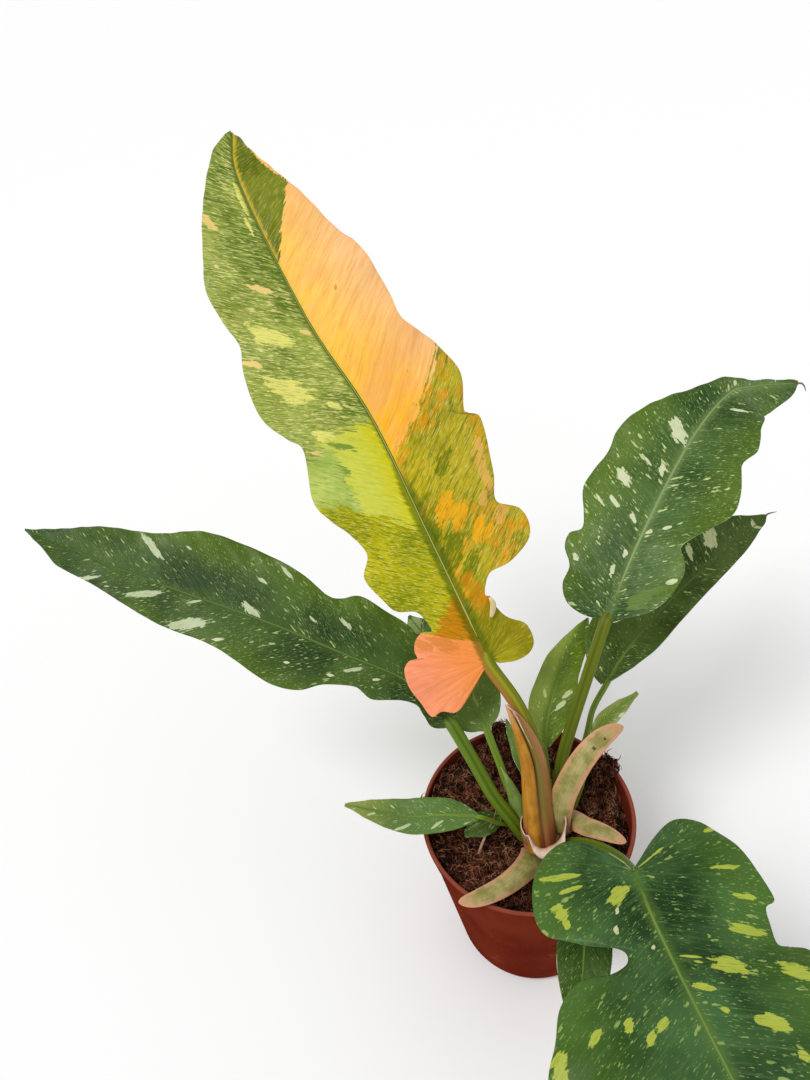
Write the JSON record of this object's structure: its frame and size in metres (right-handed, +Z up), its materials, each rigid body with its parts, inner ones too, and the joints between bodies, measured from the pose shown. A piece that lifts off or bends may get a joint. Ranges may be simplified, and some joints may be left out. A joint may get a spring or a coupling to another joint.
{
  "type": "potted ring of fire philodendron",
  "caption": "Variegated split-leaf philodendron with long wavy leaves on stalks from one crown, growing in soil in a tapered plastic nursery pot.",
  "frame": {"origin": "middle of the face that the pot stands on", "axes": "+Z up along the pot's axis, +Y away from the side that the plant is looked at from, +X to the right"},
  "size_m": [0.474, 0.5416, 0.4349],
  "materials": {
    "pot_plastic": "terracotta-brown moulded plastic with a soft sheen",
    "soil": "dark coir and peat mix, crumbly and fibrous",
    "crown": "fibrous tan stem",
    "ring_leaf": "satin leaf in orange, amber, peach, lime and green sectors",
    "green_leaf": "satin green leaf with cream patches and specks",
    "dark_leaf": "glossy dark green leaf with lime patches and specks",
    "pale_leaf": "pale grey-green leaf with a darker middle",
    "spear_sheath": "orange and olive sheath, smooth",
    "papery_sheath": "dry papery bud scale, tan and olive with pink margins"
  },
  "bodies": {
    "root": {"pot": "pot_plastic", "soil": "soil", "crown": "crown", "leaf_ring": "ring_leaf", "leaf_left": "green_leaf", "leaf_right_upper": "green_leaf", "leaf_right_lower": "green_leaf", "leaf_front": "dark_leaf", "leaf_round": "dark_leaf", "leaf_pale_centre": "pale_leaf", "leaf_small_left": "green_leaf", "leaf_tiny_left": "dark_leaf", "leaf_small_right": "green_leaf", "leaf_under_front": "dark_leaf", "leaf_sliver": "dark_leaf", "sheath_spear": "spear_sheath", "sheath_green": "green_leaf", "sheath_front": "papery_sheath", "sheath_back": "papery_sheath", "sheath_right": "papery_sheath", "crown_cup": "papery_sheath"}
  },
  "joints": []
}
